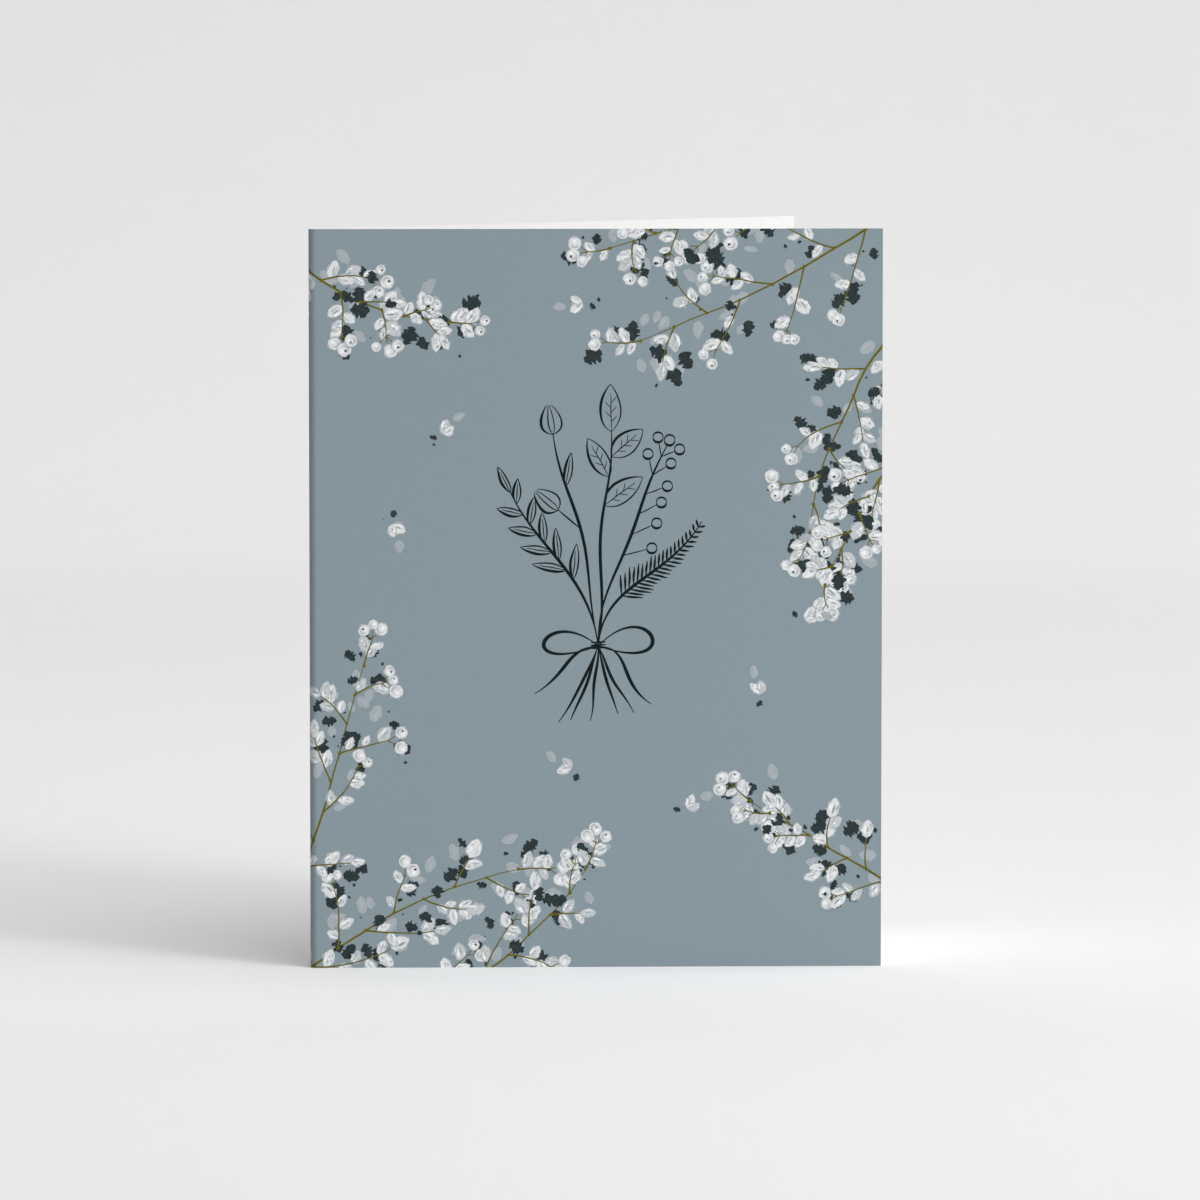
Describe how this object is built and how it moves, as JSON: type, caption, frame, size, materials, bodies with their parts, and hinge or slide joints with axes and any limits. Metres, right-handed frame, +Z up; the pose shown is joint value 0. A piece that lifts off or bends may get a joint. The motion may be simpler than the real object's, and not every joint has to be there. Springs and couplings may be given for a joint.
{
  "type": "greeting card",
  "caption": "Folded greeting card of heavy stock, standing open on its lower edges, with a matt printed front and a plain white inside.",
  "frame": {"origin": "bottom centre of the standing card's box, on the surface that its lower edges stand on", "axes": "+X along the front panel from the fold to its free edge, -Y out of the front panel's printed face, +Z up the fold"},
  "size_m": [0.108, 0.0542, 0.1397],
  "materials": {
    "printed_card_stock": "matte"
  },
  "bodies": {
    "root": {"card": "printed_card_stock"}
  },
  "joints": []
}
